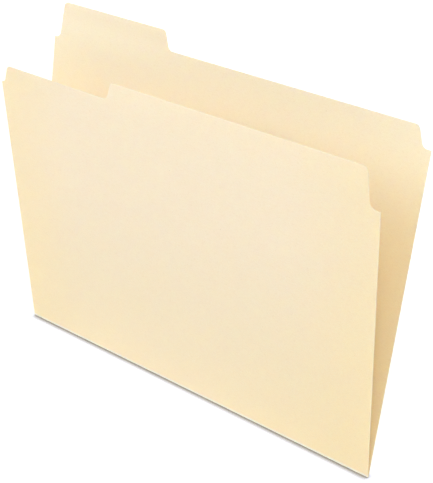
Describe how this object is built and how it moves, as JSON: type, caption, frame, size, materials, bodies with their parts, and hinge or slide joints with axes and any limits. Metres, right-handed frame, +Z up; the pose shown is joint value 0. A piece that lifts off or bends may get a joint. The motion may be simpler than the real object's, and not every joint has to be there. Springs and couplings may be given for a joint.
{
  "type": "file folder",
  "caption": "Letter-size manila file folder: one sheet of card folded once, standing open, with a label tab at the back's left and an undercut front.",
  "frame": {"origin": "middle of the fold's underside, on the surface that the folder stands on", "axes": "+X along the fold, to the right when facing the front leaf; +Y from the front leaf to the back leaf; +Z up"},
  "size_m": [0.2984, 0.0573, 0.2395],
  "materials": {
    "manila_card": "matte uncoated card"
  },
  "bodies": {
    "fold": {"fold": "manila_card"},
    "back": {"back_leaf": "manila_card"},
    "front": {"front_leaf": "manila_card"}
  },
  "joints": [
    {"name": "back_turn", "type": "hinge", "parent": "fold", "child": "back", "pos_m": [0, 0, 0.00053], "axis": [-1, 0, 0], "range_deg": [-7, 83], "deforming": ["fold"]},
    {"name": "front_turn", "type": "hinge", "parent": "fold", "child": "front", "pos_m": [0, 0, 0.00053], "axis": [1, 0, 0], "range_deg": [-7, 83], "deforming": ["fold"]}
  ]
}
